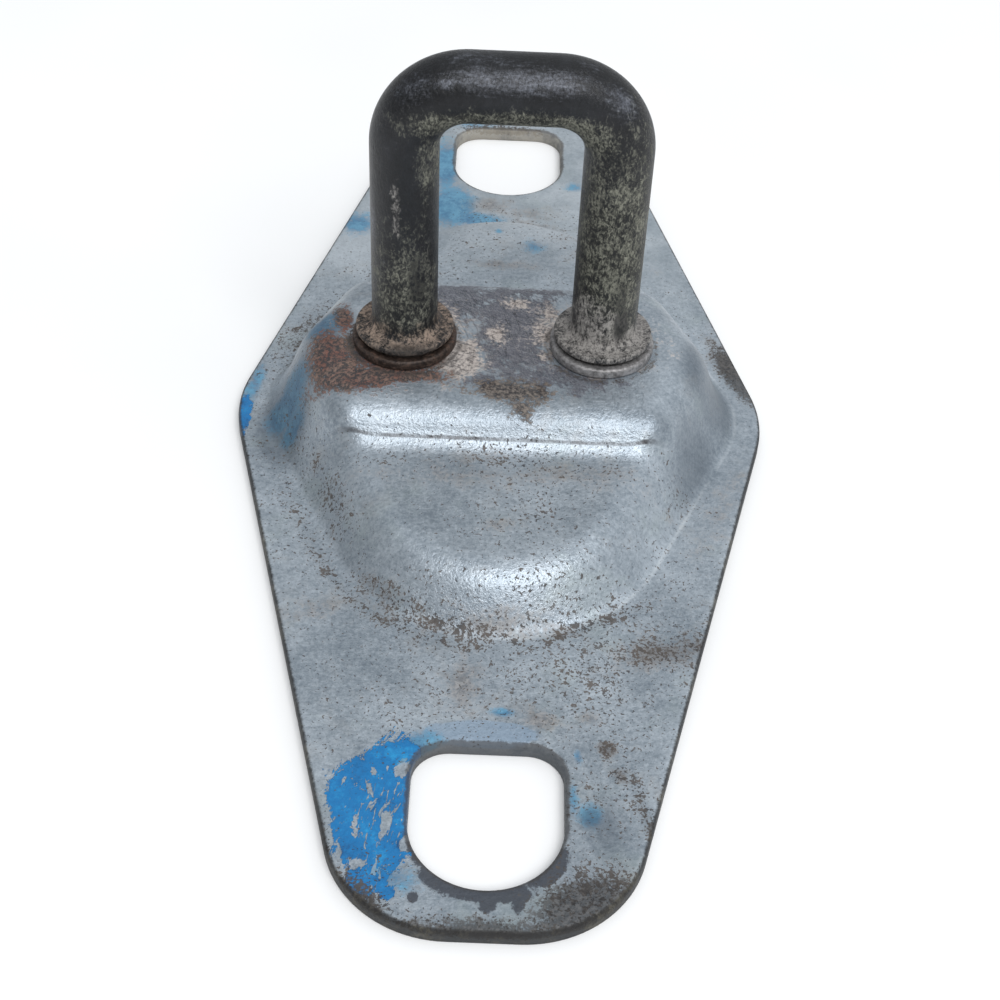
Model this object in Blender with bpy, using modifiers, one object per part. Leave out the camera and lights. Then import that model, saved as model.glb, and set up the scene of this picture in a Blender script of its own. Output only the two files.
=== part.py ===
"""Riveted eye plate: a pressed steel base plate that carries a U-shaped round bar.

The origin is on the plate's underside, at the middle of its length and width.
+Y runs along the plate, towards the flat ends of the two mounting holes.
+Z points up through the bar. The bar's two legs stand at -X (left) and +X (right).
"""

import math

import bmesh
import bpy
import numpy as np

MM = 0.001

# Base plate outline: a long hexagon, widest at the middle
SHEET = 2.0 * MM
PLATE_HALF_LENGTH = 77.25 * MM
PLATE_WAIST = 34.0 * MM  # half width of the sharp hexagon at y = 0
PLATE_END = 13.6 * MM  # half width of the sharp hexagon at its ends
WAIST_RADIUS = 20.0 * MM
END_RADIUS = 13.0 * MM

# Mounting holes: round towards -Y, squared off towards +Y
HOLE_HALF_WIDTH = 8.0 * MM
HOLE_LENGTH = 17.9 * MM
HOLE_CORNER = 4.0 * MM
HOLE_CENTRES = {"near": -63.3 * MM, "far": 58.8 * MM}

# Pressed boss, lower tier: a rounded rhombus on plan
FOOT_HALF_WIDTH = 31.95 * MM
FOOT_HALF_LENGTH = 68.5 * MM
FOOT_SIDE_RADIUS = 15.0 * MM
FOOT_LOBE_RADIUS = 21.0 * MM
LOW_HEIGHT = 6.7 * MM
LOW_FALL = 0.045  # the tier's top drops this much per unit away from the ridge
LOW_WALL = math.radians(56)
FOOT_FILLET = 2.0 * MM

# Pressed boss, upper tier: a ridge across the plate, on which the bar stands
RIDGE_HALF_WIDTH = 19.4 * MM
RIDGE_HEIGHT = 10.8 * MM
RIDGE_WALL = math.radians(70)
RIDGE_CORNER = 7.5 * MM
RIDGE_FILLET = 2.8 * MM
SHOULDER_FILLET = 5.0 * MM
CREASE_BLEND = 1.2 * MM

# Bar, collars and washers
BAR_RADIUS = 4.0 * MM
LEG_X = 12.15 * MM
BAR_TOP = 48.25 * MM  # centre line of the bar's top run
BEND_RADIUS = 7.3 * MM  # on the centre line
GAP = 0.3 * MM  # between pieces that touch
WASHER_THICKNESS = 1.1 * MM
WASHER_RADIUS = 6.4 * MM
COLLAR_THICKNESS = 1.1 * MM
COLLAR_RADIUS = 6.0 * MM
COLLAR_FLARE = 1.2 * MM  # where the leg widens onto the collar
HEAD_RADIUS = 6.4 * MM
HEAD_RIM = 0.6 * MM
HEAD_HEIGHT = 2.0 * MM
EDGE_BREAK = 0.25 * MM  # small chamfer on turned edges

RIDGE_TOP = SHEET + RIDGE_HEIGHT
WASHER_BOTTOM = RIDGE_TOP + GAP
WASHER_TOP = WASHER_BOTTOM + WASHER_THICKNESS
COLLAR_BOTTOM = WASHER_TOP + GAP
COLLAR_TOP = COLLAR_BOTTOM + COLLAR_THICKNESS
HEAD_TOP = RIDGE_TOP - SHEET - GAP

ARC_STEPS = 10
TURN_STEPS = 32
SIDES = {"left": -1, "right": 1}


def make_collection(name):
    collection = bpy.data.collections.new(name)
    bpy.context.scene.collection.children.link(collection)
    return collection


def make_material(name, colour, metallic, roughness):
    material = bpy.data.materials.new(name)
    material.use_nodes = True
    shader = material.node_tree.nodes["Principled BSDF"]
    shader.inputs["Base Color"].default_value = (*colour, 1.0)
    shader.inputs["Metallic"].default_value = metallic
    shader.inputs["Roughness"].default_value = roughness
    return material


def place(name, data, collection, material=None):
    item = bpy.data.objects.new(name, data)
    collection.objects.link(item)
    if material:
        item.data.materials.append(material)
    return item


def hide_as_cutter(item):
    item.hide_render = True
    item.display_type = "WIRE"


def shade_round(mesh):
    mesh.shade_smooth()
    mesh.set_sharp_from_angle(angle=math.radians(35))


def curve_to_mesh(item):
    """Replaces a curve object by its mesh, with the caps welded on."""
    graph = bpy.context.evaluated_depsgraph_get()
    mesh = bpy.data.meshes.new_from_object(item.evaluated_get(graph))
    bm = bmesh.new()
    bm.from_mesh(mesh)
    bmesh.ops.remove_doubles(bm, verts=bm.verts, dist=0.001 * MM)
    bm.to_mesh(mesh)
    bm.free()
    name, collection, matrix = item.name, item.users_collection[0], item.matrix_world.copy()
    bpy.data.objects.remove(item)
    made = place(name, mesh, collection)
    made.matrix_world = matrix
    return made


def add_boolean(item, other, operation):
    modifier = item.modifiers.new(operation.title() + " " + other.name, "BOOLEAN")
    modifier.operation = operation
    modifier.object = other
    modifier.solver = "EXACT"


def rounded_polygon(corners):
    """Outline through (x, y, radius) corners, each rounded by an arc of its radius."""
    points = []
    for i, (x, y, radius) in enumerate(corners):
        corner = np.array((x, y))
        back = np.array(corners[i - 1][:2]) - corner
        ahead = np.array(corners[(i + 1) % len(corners)][:2]) - corner
        back = back / np.linalg.norm(back)
        ahead = ahead / np.linalg.norm(ahead)
        half = math.acos(float(back @ ahead)) / 2
        middle = (back + ahead) / np.linalg.norm(back + ahead)
        centre = corner + middle * radius / math.sin(half)
        start = corner + back * radius / math.tan(half) - centre
        end = corner + ahead * radius / math.tan(half) - centre
        turn = math.pi - 2 * half
        for step in range(ARC_STEPS + 1):
            part = step / ARC_STEPS
            weights = math.sin((1 - part) * turn), math.sin(part * turn)
            points.append(centre + (start * weights[0] + end * weights[1]) / math.sin(turn))
    return np.array(points)


def plate_outline():
    side, end = WAIST_RADIUS, END_RADIUS
    return rounded_polygon(
        [
            (PLATE_WAIST, 0, side),
            (PLATE_END, PLATE_HALF_LENGTH, end),
            (-PLATE_END, PLATE_HALF_LENGTH, end),
            (-PLATE_WAIST, 0, side),
            (-PLATE_END, -PLATE_HALF_LENGTH, end),
            (PLATE_END, -PLATE_HALF_LENGTH, end),
        ]
    )


def hole_outline(centre_y):
    """The near end is a half circle, the far end is flat with small corners."""
    wide, half = HOLE_HALF_WIDTH, HOLE_LENGTH / 2
    nearly_half_width = 0.999 * wide
    return rounded_polygon(
        [
            (wide, centre_y + half, HOLE_CORNER),
            (-wide, centre_y + half, HOLE_CORNER),
            (-wide, centre_y - half, nearly_half_width),
            (wide, centre_y - half, nearly_half_width),
        ]
    )


def foot_outline():
    return rounded_polygon(
        [
            (FOOT_HALF_WIDTH, 0, FOOT_SIDE_RADIUS),
            (0, FOOT_HALF_LENGTH, FOOT_LOBE_RADIUS),
            (-FOOT_HALF_WIDTH, 0, FOOT_SIDE_RADIUS),
            (0, -FOOT_HALF_LENGTH, FOOT_LOBE_RADIUS),
        ]
    )


def depth_inside(x, y, outline):
    """Distance from each point to the outline, positive inside a convex outline."""
    start = outline
    along = np.roll(outline, -1, axis=0) - start
    length = np.linalg.norm(along, axis=1)
    start, along, length = start[length > 0], along[length > 0], length[length > 0]
    dx = x[:, None] - start[:, 0]
    dy = y[:, None] - start[:, 1]
    part = np.clip((dx * along[:, 0] + dy * along[:, 1]) / length**2, 0, 1)
    distance = np.hypot(dx - part * along[:, 0], dy - part * along[:, 1]).min(axis=1)
    inside = ((along[:, 0] * dy - along[:, 1] * dx) >= 0).all(axis=1)
    return np.where(inside, distance, -distance)


def press_profile(depth, height, wall, foot_radius, shoulder_radius):
    """Height of a pressed wall: a foot arc, a straight slope and a shoulder arc."""
    foot_end = foot_radius * math.sin(wall)
    foot_rise = foot_radius * (1 - math.cos(wall))
    shoulder_rise = shoulder_radius * (1 - math.cos(wall))
    slope_end = foot_end + (height - foot_rise - shoulder_rise) / math.tan(wall)
    top_start = slope_end + shoulder_radius * math.sin(wall)
    foot = foot_radius - np.sqrt(foot_radius**2 - np.clip(depth, 0, foot_end) ** 2)
    slope = foot_rise + (depth - foot_end) * math.tan(wall)
    left = np.clip(top_start - depth, 0, shoulder_radius * math.sin(wall))
    shoulder = height - shoulder_radius + np.sqrt(shoulder_radius**2 - left**2)
    return np.where(depth < foot_end, foot, np.where(depth < slope_end, slope, shoulder))


def boss_height(x, y):
    """Height of the pressed boss above the flat of the plate, for arrays of points."""
    to_foot = depth_inside(x, y, foot_outline())
    fall = LOW_FALL * np.clip(np.abs(y) - RIDGE_HALF_WIDTH, 0, None)
    low = press_profile(to_foot, LOW_HEIGHT, LOW_WALL, FOOT_FILLET, SHOULDER_FILLET)
    low = low * (1 - fall / LOW_HEIGHT)
    to_front = RIDGE_HALF_WIDTH - np.abs(y)
    corner = np.hypot(
        np.clip(RIDGE_CORNER - to_foot, 0, None),
        np.clip(RIDGE_CORNER - to_front, 0, None),
    )
    to_ridge = np.maximum(RIDGE_CORNER, np.minimum(to_foot, to_front)) - corner
    ridge = press_profile(to_ridge, RIDGE_HEIGHT, RIDGE_WALL, RIDGE_FILLET, SHOULDER_FILLET)
    blend = CREASE_BLEND * np.clip(low / (2 * CREASE_BLEND), 1e-6, 1)
    near = np.clip(1 - np.abs(low - ridge) / blend, 0, 1)
    return np.maximum(low, ridge) + near**2 * blend / 4


def grid_lines(*stretches):
    """Symmetric grid positions from (end, count) stretches that follow each other from 0."""
    lines = [0.0]
    for end, count in stretches:
        start = lines[-1]
        lines += [start + (end * MM - start) * (i + 1) / count for i in range(count)]
    return np.array([-v for v in reversed(lines[1:])] + lines)


def extruded_cutter(name, outline, bottom, top, collection):
    curve = bpy.data.curves.new(name, "CURVE")
    curve.dimensions = "2D"
    curve.fill_mode = "BOTH"
    curve.extrude = (top - bottom) / 2
    spline = curve.splines.new("POLY")
    spline.points.add(len(outline) - 1)
    for point, (x, y) in zip(spline.points, outline):
        point.co = (x, y, 0, 1)
    spline.use_cyclic_u = True
    item = place(name, curve, collection)
    item.location.z = (top + bottom) / 2
    bpy.context.view_layer.update()
    cutter = curve_to_mesh(item)
    hide_as_cutter(cutter)
    return cutter


def turned(name, profile, x, collection, material=None, closed=False):
    """A turned piece: (radius, z) points from top to bottom, spun round a vertical axis."""
    mesh = bpy.data.meshes.new(name)
    bm = bmesh.new()
    verts = [bm.verts.new((radius, 0, z)) for radius, z in profile]
    pairs = list(zip(verts, verts[1:]))
    if closed:
        pairs.append((verts[-1], verts[0]))
    for a, b in pairs:
        bm.edges.new((a, b))
    bm.to_mesh(mesh)
    bm.free()
    item = place(name, mesh, collection, material)
    item.location.x = x
    screw = item.modifiers.new("Turn", "SCREW")
    screw.steps = TURN_STEPS
    screw.render_steps = TURN_STEPS
    screw.use_merge_vertices = True
    screw.merge_threshold = 0.001 * MM
    screw.use_smooth_shade = True
    return item


def make_base_plate(parts, cutters):
    steel = make_material("zinc plated steel", (0.55, 0.58, 0.61), 0.75, 0.45)
    columns = grid_lines((20, 10), (30.5, 7), (36, 1))
    rows = grid_lines((9, 3), (19.5, 7), (30, 5), (40.5, 7), (60, 1), (80, 1))
    mesh = bpy.data.meshes.new("base_plate")
    bm = bmesh.new()
    bmesh.ops.create_grid(bm, x_segments=len(columns) - 1, y_segments=len(rows) - 1, size=0.5)
    for vert in bm.verts:
        vert.co.x = columns[round((vert.co.x + 0.5) * (len(columns) - 1))]
        vert.co.y = rows[round((vert.co.y + 0.5) * (len(rows) - 1))]
    heights = boss_height(
        np.array([v.co.x for v in bm.verts]), np.array([v.co.y for v in bm.verts])
    )
    for vert, height in zip(bm.verts, heights):
        vert.co.z = SHEET + height
    bm.to_mesh(mesh)
    bm.free()
    shade_round(mesh)
    plate = place("base_plate", mesh, parts, steel)

    solidify = plate.modifiers.new("Sheet thickness", "SOLIDIFY")
    solidify.thickness = SHEET
    solidify.offset = -1
    solidify.use_even_offset = True
    solidify.use_quality_normals = True

    clear = 2 * MM
    blank = extruded_cutter("cut_outline", plate_outline(), -clear, RIDGE_TOP + clear, cutters)
    add_boolean(plate, blank, "INTERSECT")
    for name, centre_y in HOLE_CENTRES.items():
        outline = hole_outline(centre_y)
        hole = extruded_cutter("cut_hole_" + name, outline, -clear, SHEET + clear, cutters)
        add_boolean(plate, hole, "DIFFERENCE")
    for name, sign in SIDES.items():
        radius = BAR_RADIUS + GAP
        top, bottom = RIDGE_TOP + clear, RIDGE_TOP - SHEET - clear
        profile = [(0, top), (radius, top), (radius, bottom), (0, bottom)]
        bore = turned("cut_rivet_" + name, profile, sign * LEG_X, cutters)
        hide_as_cutter(bore)
        add_boolean(plate, bore, "DIFFERENCE")
    return plate


def bar_path():
    """Centre line of the U, up the left leg, across the top and down the right leg."""
    start_z = COLLAR_BOTTOM + COLLAR_THICKNESS / 2
    points = [(-LEG_X, start_z)]
    for sign, angles in ((-1, (180, 90)), (1, (90, 0))):
        centre_x = sign * (LEG_X - BEND_RADIUS)
        centre_z = BAR_TOP - BEND_RADIUS
        for step in range(ARC_STEPS + 1):
            angle = math.radians(angles[0] + (angles[1] - angles[0]) * step / ARC_STEPS)
            x = centre_x + BEND_RADIUS * math.cos(angle)
            z = centre_z + BEND_RADIUS * math.sin(angle)
            points.append((x, z))
    points.append((LEG_X, start_z))
    return points


def foot_profile():
    """Collar on top, a neck through the washer and the plate, a peened head below."""
    neck = BAR_RADIUS
    rim = HEAD_TOP - HEAD_RIM
    dome = [
        (HEAD_RADIUS * math.cos(angle), rim - (HEAD_HEIGHT - HEAD_RIM) * math.sin(angle))
        for angle in (math.radians(a) for a in range(0, 90, 18))
    ]
    sunk = 0.1 * MM  # keeps the flare's top inside the leg
    return [
        (0, COLLAR_TOP + COLLAR_FLARE),
        (neck - sunk, COLLAR_TOP + COLLAR_FLARE),
        (neck + 0.3 * COLLAR_FLARE, COLLAR_TOP + 0.3 * COLLAR_FLARE),
        (neck + COLLAR_FLARE, COLLAR_TOP),
        (COLLAR_RADIUS - EDGE_BREAK, COLLAR_TOP),
        (COLLAR_RADIUS, COLLAR_TOP - EDGE_BREAK),
        (COLLAR_RADIUS, COLLAR_BOTTOM + EDGE_BREAK),
        (COLLAR_RADIUS - EDGE_BREAK, COLLAR_BOTTOM),
        (neck, COLLAR_BOTTOM),
        (neck, HEAD_TOP),
        (HEAD_RADIUS, HEAD_TOP),
        *dome,
        (0, HEAD_TOP - HEAD_HEIGHT),
    ]


def make_eye_loop(parts, cutters):
    black = make_material("blackened steel", (0.05, 0.05, 0.055), 0.4, 0.5)
    curve = bpy.data.curves.new("eye_loop", "CURVE")
    curve.dimensions = "3D"
    curve.bevel_depth = BAR_RADIUS
    curve.bevel_resolution = 6
    curve.use_fill_caps = True
    path = bar_path()
    spline = curve.splines.new("POLY")
    spline.points.add(len(path) - 1)
    for point, (x, z) in zip(spline.points, path):
        point.co = (x, 0, z, 1)
    item = place("eye_loop", curve, parts)
    bpy.context.view_layer.update()
    loop = curve_to_mesh(item)
    loop.data.materials.append(black)
    for name, sign in SIDES.items():
        foot = turned("join_foot_" + name, foot_profile(), sign * LEG_X, cutters)
        hide_as_cutter(foot)
        add_boolean(loop, foot, "UNION")
    shade_round(loop.data)
    return loop


def make_seat_washers(parts):
    rusty = make_material("rusted washer steel", (0.24, 0.19, 0.16), 0.4, 0.7)
    inner, outer, edge = BAR_RADIUS + GAP, WASHER_RADIUS, EDGE_BREAK
    profile = [
        (inner, WASHER_TOP),
        (outer - edge, WASHER_TOP),
        (outer, WASHER_TOP - edge),
        (outer, WASHER_BOTTOM + edge),
        (outer - edge, WASHER_BOTTOM),
        (inner, WASHER_BOTTOM),
    ]
    for name, sign in SIDES.items():
        turned("seat_washer_" + name, profile, sign * LEG_X, parts, rusty, closed=True)


def main():
    for item in list(bpy.data.objects):
        bpy.data.objects.remove(item)
    parts = make_collection("pad_eye")
    cutters = make_collection("cutters")
    make_base_plate(parts, cutters)
    make_eye_loop(parts, cutters)
    make_seat_washers(parts)


main()
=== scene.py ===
"""Looks for the riveted eye plate: a worn zinc-plated pressing with a blackened U bar.

Lengths in this script are millimetres, in the CAD's own frame, and are scaled to metres where a
mesh is made. +Y runs along the plate, +Z points up through the bar, the legs stand at -X and +X.
"""

import math

import bmesh
import bpy
import numpy as np
from mathutils import Matrix, Vector
from mathutils.geometry import delaunay_2d_cdt


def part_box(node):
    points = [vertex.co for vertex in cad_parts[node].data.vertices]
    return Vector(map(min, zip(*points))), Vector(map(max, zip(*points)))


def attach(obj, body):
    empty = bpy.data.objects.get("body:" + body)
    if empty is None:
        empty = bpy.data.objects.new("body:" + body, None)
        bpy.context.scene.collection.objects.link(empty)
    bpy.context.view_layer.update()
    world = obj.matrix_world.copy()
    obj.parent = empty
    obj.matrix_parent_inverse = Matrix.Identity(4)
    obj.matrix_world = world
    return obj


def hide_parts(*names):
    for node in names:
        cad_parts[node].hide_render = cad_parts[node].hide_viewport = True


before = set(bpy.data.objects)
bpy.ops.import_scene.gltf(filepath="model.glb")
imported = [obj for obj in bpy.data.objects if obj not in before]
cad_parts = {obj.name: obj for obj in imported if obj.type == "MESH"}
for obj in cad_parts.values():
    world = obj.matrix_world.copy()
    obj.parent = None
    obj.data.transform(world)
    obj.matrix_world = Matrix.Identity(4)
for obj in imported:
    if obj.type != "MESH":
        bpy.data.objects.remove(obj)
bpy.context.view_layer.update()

MM = 0.001


# ---------------------------------------------------------------- sizes, from the frame

plate_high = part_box("base_plate")[1] / MM
loop_low, loop_high = (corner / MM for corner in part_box("eye_loop"))
ring_low, ring_high = (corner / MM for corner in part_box("seat_washer_right"))

SHEET = 2.0
HALF_LENGTH = plate_high.y
RIDGE_TOP = plate_high.z
PLATE_WAIST = 34.0  # half width of the sharp hexagon, before its waist is rounded
PLATE_END = 13.6
WAIST_RADIUS = 20.0
END_RADIUS = 13.0

HOLE_HALF_WIDTH = 8.0
HOLE_LENGTH = 17.9
HOLE_CORNER = 4.0
NEAR_HOLE_Y = -63.3
FAR_HOLE_Y = 58.8

FOOT_HALF_WIDTH = 31.95
FOOT_HALF_LENGTH = 68.5
FOOT_SIDE_RADIUS = 15.0
FOOT_LOBE_RADIUS = 21.0
LOW_HEIGHT = 6.7
LOW_FALL = 0.045
LOW_WALL = math.radians(56)
FOOT_FILLET = 1.6
RIDGE_HALF_WIDTH = 19.4
RIDGE_HEIGHT = RIDGE_TOP - SHEET
RIDGE_WALL = math.radians(70)
RIDGE_CORNER = 7.5
RIDGE_FILLET = 2.8
SHOULDER_FILLET = 5.0
CREASE_BLEND = 0.7  # how softly the ridge meets the low tier's top
SIDE_BLEND = 2.6  # how much softer it meets the low tier's walls
CREASE_DEPTH = 4.5  # how far inside the ridge's outline its front wall meets the low tier
CREASE_FILLET = (2.1, 1.0)  # reach and rise of the fillet at the foot of that wall
TOP_BAND = 1.7  # the part of the low tier's height that counts as its top, for the crease

BAR_RADIUS = 4.0
LEG_X = (ring_low.x + ring_high.x) / 2
BAR_TOP = loop_high.z - BAR_RADIUS
BEND_RADIUS = 7.3
RING_RADIUS = (ring_high.x - ring_low.x) / 2
COLLAR_RADIUS = 6.0
COLLAR_TOP = 15.6
COLLAR_BOTTOM = 14.8
GROOVE_RADIUS = 5.4  # of the neck between the collar and the washer
COLLAR_EDGE = 0.25
COLLAR_FLARE = 1.2  # radius between the collar's top and the leg
HEAD_RADIUS = loop_high.y
HEAD_BOTTOM = loop_low.z
HEAD_RIM = 0.6  # height of the head's upright rim against the plate
HEAD_EDGE = 0.3
SUNK = 0.05  # how far the neck starts inside the washer, so that no gap shows
WASHER_EDGE = 0.35
WASHER_SUNK = 0.2
BORE_GAP = 0.1  # between the bar and the holes it goes through


# ---------------------------------------------------------------- outlines and heights


def unit(vector):
    return vector / np.linalg.norm(vector)


def rounded_polygon(corners, spacing):
    """Outline through (x, y, radius) corners as evenly spaced points on arcs and lines."""
    stops = []
    for i, (x, y, radius) in enumerate(corners):
        corner = np.array((x, y))
        back = unit(np.array(corners[i - 1][:2]) - corner)
        ahead = unit(np.array(corners[(i + 1) % len(corners)][:2]) - corner)
        half = math.acos(float(back @ ahead)) / 2
        centre = corner + unit(back + ahead) * radius / math.sin(half)
        start = corner + back * radius / math.tan(half) - centre
        end = corner + ahead * radius / math.tan(half) - centre
        turn = math.pi - 2 * half
        steps = max(4, round(turn * radius / spacing * 4))  # dense, since the loop is resampled
        for step in range(steps + 1):
            part = step / steps
            weights = math.sin((1 - part) * turn), math.sin(part * turn)
            stops.append(centre + (start * weights[0] + end * weights[1]) / math.sin(turn))
    return resample(np.array(stops), spacing)


def resample(loop, spacing):
    """Evenly spaced points on a closed polyline."""
    closed = np.vstack([loop, loop[:1]])
    travel = np.concatenate([[0], np.cumsum(np.linalg.norm(np.diff(closed, axis=0), axis=1))])
    count = round(travel[-1] / spacing)
    at = np.arange(count) * travel[-1] / count
    return np.stack([np.interp(at, travel, closed[:, k]) for k in (0, 1)], axis=1)


def plate_outline(spacing):
    side, end = WAIST_RADIUS, END_RADIUS
    corners = [
        (PLATE_WAIST, 0, side),
        (PLATE_END, HALF_LENGTH, end),
        (-PLATE_END, HALF_LENGTH, end),
        (-PLATE_WAIST, 0, side),
        (-PLATE_END, -HALF_LENGTH, end),
        (PLATE_END, -HALF_LENGTH, end),
    ]
    return rounded_polygon(corners, spacing)


def hole_outline(centre_y, spacing):
    wide, half = HOLE_HALF_WIDTH, HOLE_LENGTH / 2
    corners = [
        (wide, centre_y + half, HOLE_CORNER),
        (-wide, centre_y + half, HOLE_CORNER),
        (-wide, centre_y - half, 0.999 * wide),
        (wide, centre_y - half, 0.999 * wide),
    ]
    return rounded_polygon(corners, spacing)


def foot_outline(spacing=0.5):
    corners = [
        (FOOT_HALF_WIDTH, 0, FOOT_SIDE_RADIUS),
        (0, FOOT_HALF_LENGTH, FOOT_LOBE_RADIUS),
        (-FOOT_HALF_WIDTH, 0, FOOT_SIDE_RADIUS),
        (0, -FOOT_HALF_LENGTH, FOOT_LOBE_RADIUS),
    ]
    return rounded_polygon(corners, spacing)


def circle(x, y, radius, spacing):
    count = round(2 * math.pi * radius / spacing)
    angles = np.arange(count) * 2 * math.pi / count
    return np.stack([x + radius * np.cos(angles), y + radius * np.sin(angles)], axis=1)


BATCH = 4000  # points handled at a time, to spare memory


def depth_inside(points, outline):
    """Distance from each point to the outline, positive inside a convex outline."""
    along = np.roll(outline, -1, axis=0) - outline
    length = np.linalg.norm(along, axis=1)
    out = np.empty(len(points))
    for first in range(0, len(points), BATCH):
        some = points[first : first + BATCH]
        dx = some[:, :1] - outline[:, 0]
        dy = some[:, 1:] - outline[:, 1]
        part = np.clip((dx * along[:, 0] + dy * along[:, 1]) / length**2, 0, 1)
        near = np.hypot(dx - part * along[:, 0], dy - part * along[:, 1]).min(axis=1)
        inside = ((along[:, 0] * dy - along[:, 1] * dx) >= 0).all(axis=1)
        out[first : first + BATCH] = np.where(inside, near, -near)
    return out


def press_profile(depth, height, wall, foot_radius, shoulder_radius):
    """Height of a pressed wall: a foot arc, a straight slope and a shoulder arc."""
    foot_end = foot_radius * math.sin(wall)
    foot_rise = foot_radius * (1 - math.cos(wall))
    shoulder_rise = shoulder_radius * (1 - math.cos(wall))
    slope_end = foot_end + (height - foot_rise - shoulder_rise) / math.tan(wall)
    top_start = slope_end + shoulder_radius * math.sin(wall)
    foot = foot_radius - np.sqrt(foot_radius**2 - np.clip(depth, 0, foot_end) ** 2)
    slope = foot_rise + (depth - foot_end) * math.tan(wall)
    left = np.clip(top_start - depth, 0, shoulder_radius * math.sin(wall))
    shoulder = height - shoulder_radius + np.sqrt(shoulder_radius**2 - left**2)
    return np.where(depth < foot_end, foot, np.where(depth < slope_end, slope, shoulder))


FOOT = foot_outline()


def boss_height(points):
    """Height of the pressed boss above the flat of the plate."""
    y = points[:, 1]
    to_foot = depth_inside(points, FOOT)
    fall = LOW_FALL * np.clip(np.abs(y) - RIDGE_HALF_WIDTH, 0, None)
    low = press_profile(to_foot, LOW_HEIGHT, LOW_WALL, FOOT_FILLET, SHOULDER_FILLET)
    low = low * (1 - fall / LOW_HEIGHT)
    to_front = RIDGE_HALF_WIDTH - np.abs(y)
    corner = np.hypot(
        np.clip(RIDGE_CORNER - to_foot, 0, None),
        np.clip(RIDGE_CORNER - to_front, 0, None),
    )
    to_ridge = np.maximum(RIDGE_CORNER, np.minimum(to_foot, to_front)) - corner
    ridge = press_profile(to_ridge, RIDGE_HEIGHT, RIDGE_WALL, RIDGE_FILLET, SHOULDER_FILLET)
    reach, rise = CREASE_FILLET
    on_top = np.clip((low / (1 - fall / LOW_HEIGHT) - LOW_HEIGHT) / TOP_BAND + 1, 0, 1)
    away = np.clip(1 - (CREASE_DEPTH - to_ridge) / reach, 0, 1)
    low = low + rise * on_top * np.where(to_ridge < CREASE_DEPTH, away**2, 1)
    blend = CREASE_BLEND + SIDE_BLEND * (1 - on_top)
    blend = blend * np.clip(low / (2 * blend), 1e-6, 1)
    near = np.clip(1 - np.abs(low - ridge) / blend, 0, 1)
    return np.maximum(low, ridge) + near**2 * blend / 4


# ---------------------------------------------------------------- mesh helpers


def new_piece(name, verts, faces, nodes):
    """A mesh piece in metres that rides on the only body and stands for CAD nodes."""
    mesh = bpy.data.meshes.new(name)
    mesh.from_pydata([tuple(v * MM for v in vert) for vert in verts], [], faces)
    mesh.validate()
    mesh.shade_smooth()
    piece = bpy.data.objects.new(name, mesh)
    bpy.context.scene.collection.objects.link(piece)
    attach(piece, "root")
    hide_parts(*nodes)
    return piece


# ---------------------------------------------------------------- base plate

EDGE_ROLL = 0.55  # radius of the sheared top edge
EDGE_BURR = 0.2  # radius of the sheared bottom edge
EDGE_RINGS = (0.0, 0.05, 0.15, 0.3, 0.55, 0.9)  # distances of the mesh rings from each edge
FINE = 0.5  # mesh spacing on the boss and round the near hole
COARSE = 0.85  # mesh spacing on the rest of the flat
GRID_HALF = (36, 80)  # half sizes of the grid that the mesh points are taken from
FINE_END_Y = -47.0  # the flat is fine from the near end to here
FINE_MARGIN = 1.5  # how far the fine mesh goes past the foot of the boss
OUTLINE_STEP = 0.8  # spacing of the points on the plate's outline
HOLE_STEP = 0.6
SLOPE_STEP = 0.05


def edge_drop(distance, radius):
    """How far a rounded edge lies below the flat, at a distance from the edge."""
    left = np.clip(radius - distance, 0, radius)
    return radius - np.sqrt(radius**2 - left**2)


def offset_loop(loop, distance):
    """Moves a loop to its left by a distance."""
    along = np.roll(loop, -1, axis=0) - np.roll(loop, 1, axis=0)
    along = along / np.linalg.norm(along, axis=1)[:, None]
    return loop + distance * np.stack([-along[:, 1], along[:, 0]], axis=1)


def plate_points():
    """Points and constraint edges of the plate on plan, with its edge loops first."""
    outer = plate_outline(OUTLINE_STEP)
    holes = [hole_outline(y, HOLE_STEP) for y in (NEAR_HOLE_Y, FAR_HOLE_Y)]
    holes += [circle(side * LEG_X, 0, BAR_RADIUS + BORE_GAP, HOLE_STEP) for side in (-1, 1)]
    loops = [outer] + holes
    points, edges = [], []
    for index, loop in enumerate(loops):
        for ring, distance in enumerate(EDGE_RINGS):
            moved = offset_loop(loop, distance if index == 0 else -distance)
            first = len(points)
            count = len(moved)
            points += list(moved)
            if ring == 0:
                edges += [(first + i, first + (i + 1) % count) for i in range(count)]
    return loops, points, edges


def fill_points(loops):
    """Interior points: a fine grid on the boss and a coarser one on the flat."""
    grids = []
    for spacing in (FINE, COARSE):
        xs = np.arange(-GRID_HALF[0], GRID_HALF[0], spacing)
        ys = np.arange(-GRID_HALF[1], GRID_HALF[1], spacing)
        x, y = np.meshgrid(xs, ys)
        x = x + np.where(np.arange(len(ys)) % 2, spacing / 2, 0)[:, None]
        grid = np.stack([x.ravel(), y.ravel()], axis=1)
        reach = np.maximum(depth_inside(grid, FOOT), FINE_END_Y - grid[:, 1]) + FINE_MARGIN
        grids.append(grid[reach > 0 if spacing == FINE else reach < -COARSE / 2])
    points = np.vstack(grids)
    clear = EDGE_RINGS[-1] + 0.3
    keep = depth_inside(points, loops[0]) > clear
    for hole in loops[1:]:
        keep &= depth_inside(points, hole) < -clear
    return points[keep]


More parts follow.
